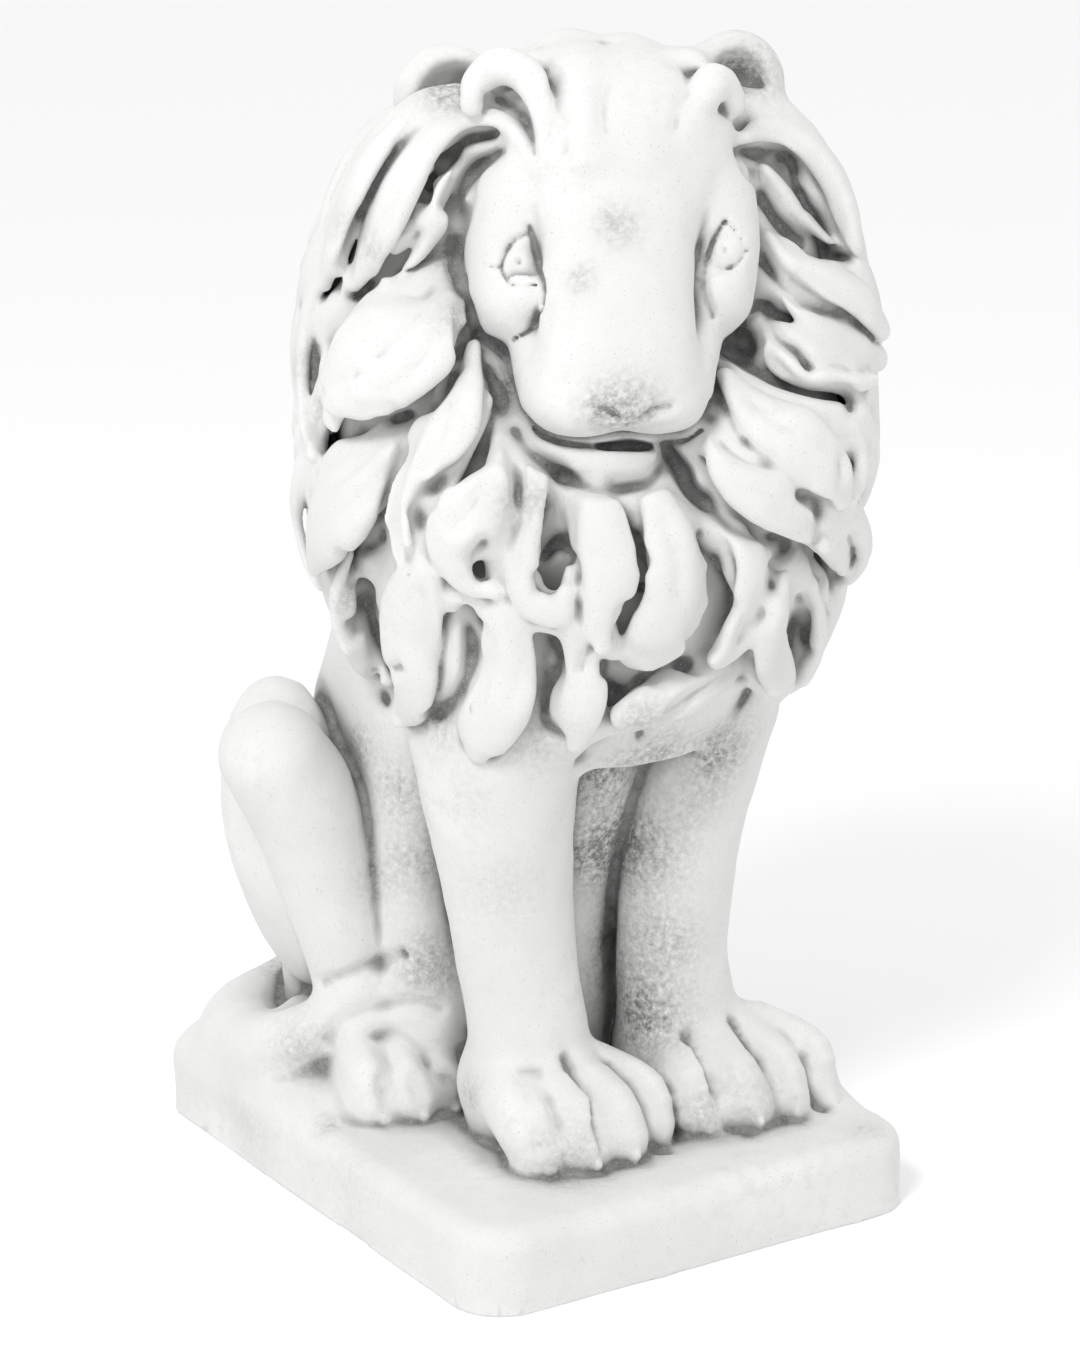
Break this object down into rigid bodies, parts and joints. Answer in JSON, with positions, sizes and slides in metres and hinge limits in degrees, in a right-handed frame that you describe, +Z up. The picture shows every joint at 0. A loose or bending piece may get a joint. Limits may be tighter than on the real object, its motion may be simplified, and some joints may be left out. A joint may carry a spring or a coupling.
{
  "type": "seated lion statue",
  "caption": "Seated garden lion with a full curling mane and its tail round one haunch, cast in pale stone in one piece with its rounded plinth.",
  "frame": {"origin": "middle of the plinth's flat underside", "axes": "+Z up through the lion's crown, -Y out of the plinth's front edge, where the forepaws are, and +X to the lion's own left side"},
  "size_m": [0.3604, 0.4094, 0.696],
  "materials": {
    "cast_stone": "matte, off-white with grey patina in the recesses"
  },
  "bodies": {
    "root": {"lion_statue": "cast_stone"}
  },
  "joints": []
}
